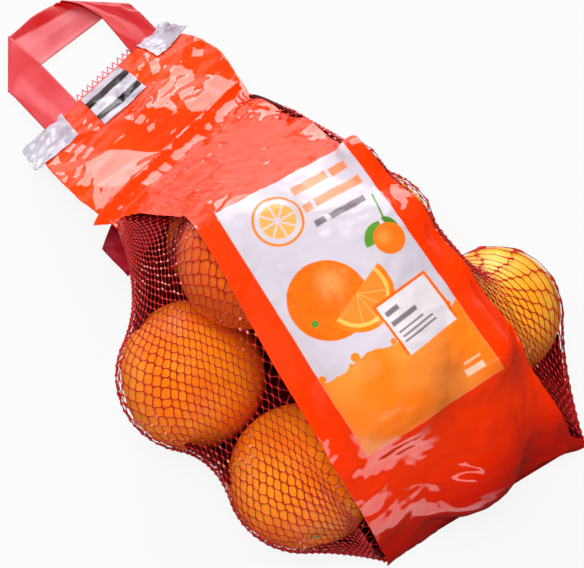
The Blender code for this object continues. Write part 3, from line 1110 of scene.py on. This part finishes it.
def makeHandle():
    h = handleSetup
    lines = h["lines"]
    w = np.linspace(0, 1, h["across"])[:, None]
    turns = [number for number, line in enumerate(lines) if line[2]]
    count = (len(lines) - 1) * h["along"] + 1
    rows, uv = [], []
    for step in range(count):
        station = step / h["along"]
        first = min(int(station), len(lines) - 2)
        t = station - first
        start, end = [np.array(line[0]) * (1 - w) + np.array(line[1]) * w for line in lines[first:first + 2]]
        xy = start * (1 - t) + end * t
        middle = smoothStep(turns[0] - 0.14, turns[0] + 0.14, station)
        middle *= smoothStep(turns[1] + 0.14, turns[1] - 0.14, station)
        z = h["high"] + (h["low"] - h["high"]) * middle
        away = np.clip(min(abs(station - turn) for turn in turns) / 0.6, 0, 1)
        waves = foldField(w * 0.035, w * 0 + station * 0.03, 51, 5, 0.02, 0.05, 0.4)
        lift = z + h["wave"] * away * (waves - 0.3)
        rows.append(np.column_stack([xy, lift]))
        uv.append(np.column_stack([w, np.full(len(w), station)]))
    return np.array(rows), np.array(uv)


def makeStripMaterial():
    material, tree, shader = newMaterial("handle_strip", srgb(215, 56, 60), 0.36, 0.35)
    uv = tree.nodes.new("ShaderNodeUVMap")
    uv.uv_map = "printMap"
    split = tree.nodes.new("ShaderNodeSeparateXYZ")
    tree.links.new(uv.outputs["UV"], split.inputs[0])
    coords = tree.nodes.new("ShaderNodeTexCoord").outputs["Object"]
    soft = noiseAt(tree, coords, 30.0, 2.0)
    tone = blendColour(tree, ramp(tree, soft, 0.35, 0.65), srgb(196, 48, 54), srgb(204, 76, 82))
    along = split.outputs["Y"]
    middle = calc(tree, "MULTIPLY", ramp(tree, along, 1.98, 2.04), ramp(tree, along, 4.96, 5.02, 1.0, 0.0))
    inner = blendColour(tree, ramp(tree, soft, 0.4, 0.6), srgb(212, 108, 112), srgb(200, 84, 90))
    # painted shade: the top segment darkens towards its far fold, where it runs under the right leg
    inner = blendColour(tree, ramp(tree, along, 3.65, 4.1), inner, srgb(160, 8, 12))
    # dark band along the top segment's edge: partly the film lying double, partly painted shade
    rise = calc(tree, "MULTIPLY", calc(tree, "SUBTRACT", along, 2.5), 0.13)
    dark = calc(tree, "ADD", split.outputs["X"], rise)
    inner = blendColour(tree, ramp(tree, dark, 0.80, 0.86), inner, srgb(180, 8, 12))
    tone = blendColour(tree, ramp(tree, along, 4.98, 5.02), tone, srgb(190, 40, 44))
    tone = blendColour(tree, middle, tone, inner)
    tree.links.new(tone, shader.inputs["Base Color"])
    return material


stripPoints, stripMap = makeHandle()
strip = makeMesh("handle_strip", stripPoints, gridFaces(*stripPoints.shape[:2]), stripMap,
                 makeStripMaterial())
addThickness(strip, handleSetup["thickness"])
place(strip, "strip", "handle")
print("handle folded")


fringeSetup = {"teeth": 12, "from": 0.30, "to": 0.76, "out": 0.0042, "radius": 0.00036}


def makeFringe():
    g = fringeSetup
    paths = []
    for tooth in range(g["teeth"] * 2):
        u0 = g["from"] + (g["to"] - g["from"]) * tooth / (2 * g["teeth"])
        u1 = g["from"] + (g["to"] - g["from"]) * (tooth + 1) / (2 * g["teeth"])
        v0, v1 = (1.0, 1.0 + g["out"] / 0.092) if tooth % 2 == 0 else (1.0 + g["out"] / 0.092, 1.0)
        ends = np.linspace(0, 1, 4)
        u = u0 + (u1 - u0) * ends
        v = v0 + (v1 - v0) * ends
        points = headerBase(u, v)
        points[:, 2] = 0.0016 + 0.0008 * np.sin(3 * tooth)
        paths.append(points)
    paths = np.array(paths)
    normals = np.zeros_like(paths)
    normals[..., 2] = 1.0
    radius = g["radius"]
    points, faces = tubes(paths, (radius, radius, radius, radius), normals)
    yarn = newMaterial("fringe_yarn", srgb(226, 104, 128), 0.4)[0]
    return makeMesh("net_fringe", points, faces, material=yarn)


fringe = makeFringe()
place(fringe, "net", "fruit_net")
print("fringe added")


stageSetup = {
    "aim": (0.0, 0.0, 0.060),      # in the bag's own frame
    "azimuth": -29.5,
    "elevation": 65.0,
    "distance": 1.10,
    "lens": 129.4,
    "reflectionGlow": (("Y", -0.300, -0.280), ("Y", -0.222, -0.236), ("X", -0.22, -0.14), ("X", 0.08, -0.01)),
    "lamps": {      # direction, distance, width and height, power, seen in reflections
        "key": ((0.33, 0.84, 0.38), 1.85, (1.40, 1.40), 35.0, True),
        "top": ((-0.20, -0.08, 1.0), 1.80, (1.00, 1.00), 38.0, False),
        "streak": ((-0.16, -0.93, 0.26), 1.50, (1.10, 0.26), 3.4, True),
    },
}


def addSoftbox(name, direction, distance, size, power, aim):
    lamp = bpy.data.lights.new(name, "AREA")
    lamp.shape = "RECTANGLE"
    lamp.size, lamp.size_y = size
    lamp.energy = power
    holder = bpy.data.objects.new(name, lamp)
    bpy.context.scene.collection.objects.link(holder)
    toward = Vector(direction).normalized()
    holder.location = aim + toward * distance
    holder.rotation_euler = toward.to_track_quat("Z", "Y").to_euler()
    return holder


def makeFloor():
    bpy.ops.mesh.primitive_plane_add(size=8.0, location=(0, 0, -0.0002))
    floor = bpy.context.active_object
    floor.name = "studio_floor"
    material, tree, shader = newMaterial("pale_floor", (0.62, 0.62, 0.62, 1.0), 0.8, 0.1)
    rays = tree.nodes.new("ShaderNodeLightPath")
    glow = tree.nodes.new("ShaderNodeEmission")
    mix = tree.nodes.new("ShaderNodeMixShader")
    output = tree.nodes["Material Output"]
    split = tree.nodes.new("ShaderNodeSeparateXYZ")
    tree.links.new(tree.nodes.new("ShaderNodeNewGeometry").outputs["Position"], split.inputs[0])
    band = rays.outputs["Is Glossy Ray"]                        # floor patch that glows only in reflections: a painted highlight low on the film
    for axis, start, full in stageSetup["reflectionGlow"]:
        band = calc(tree, "MULTIPLY", band, ramp(tree, split.outputs[axis], start, full))
    camera = calc(tree, "MULTIPLY", rays.outputs["Is Camera Ray"], 0.90)
    tree.links.new(calc(tree, "ADD", camera, band), mix.inputs["Fac"])
    tree.links.new(calc(tree, "ADD", 0.98, band), glow.inputs["Strength"])
    # painted reflection: seen in reflections the floor is dark in front and pale behind
    behind = ramp(tree, split.outputs["Y"], 0.0, 0.25)
    paintedReflectionTone = blendColour(tree, behind, (0.04, 0.03, 0.03, 1.0), (0.6, 0.6, 0.6, 1.0))
    shade = blendColour(tree, rays.outputs["Is Glossy Ray"], (0.62, 0.62, 0.62, 1.0), paintedReflectionTone)
    tree.links.new(shade, shader.inputs["Base Color"])
    tree.links.new(shader.outputs[0], mix.inputs[1])
    tree.links.new(glow.outputs[0], mix.inputs[2])
    tree.links.new(mix.outputs[0], output.inputs["Surface"])
    floor.data.materials.append(material)


def makeWorld():
    world = bpy.data.worlds.new("studio")
    bpy.context.scene.world = world
    world.use_nodes = True
    tree = world.node_tree
    background = tree.nodes["Background"]
    coords = tree.nodes.new("ShaderNodeTexCoord").outputs["Generated"]
    split = tree.nodes.new("ShaderNodeSeparateXYZ")
    tree.links.new(coords, split.inputs[0])
    level = ramp(tree, split.outputs["Z"], 0.05, 0.40, 0.62, 0.12)
    level = calc(tree, "MULTIPLY", level, ramp(tree, split.outputs["Y"], -0.4, 0.5, 0.12, 1.0))
    rays = tree.nodes.new("ShaderNodeLightPath").outputs["Is Camera Ray"]
    shown = calc(tree, "ADD", calc(tree, "MULTIPLY", level, calc(tree, "SUBTRACT", 1.0, rays)),
                 calc(tree, "MULTIPLY", rays, 0.98))
    tree.links.new(shown, background.inputs["Strength"])
    background.inputs["Color"].default_value = (1, 1, 1, 1)


def makeCamera():
    s = stageSetup
    aim = Vector(s["aim"]) + Vector(bagShift.tolist())
    a, e = math.radians(s["azimuth"]), math.radians(s["elevation"])
    back = Vector((math.sin(a) * math.cos(e), -math.cos(a) * math.cos(e), math.sin(e)))
    data = bpy.data.cameras.new("view")
    data.lens = s["lens"]
    data.sensor_width = 36.0
    camera = bpy.data.objects.new("view", data)
    bpy.context.scene.collection.objects.link(camera)
    camera.location = aim + back * s["distance"]
    camera.rotation_euler = back.to_track_quat("Z", "Y").to_euler()
    bpy.context.scene.camera = camera
    for name, (direction, distance, size, power, glossy) in s["lamps"].items():
        lamp = addSoftbox(name, direction, distance, size, power, aim)
        lamp.visible_glossy = glossy


makeFloor()
makeWorld()
makeCamera()
bpy.context.scene.view_settings.view_transform = "Standard"
print("stage lit")
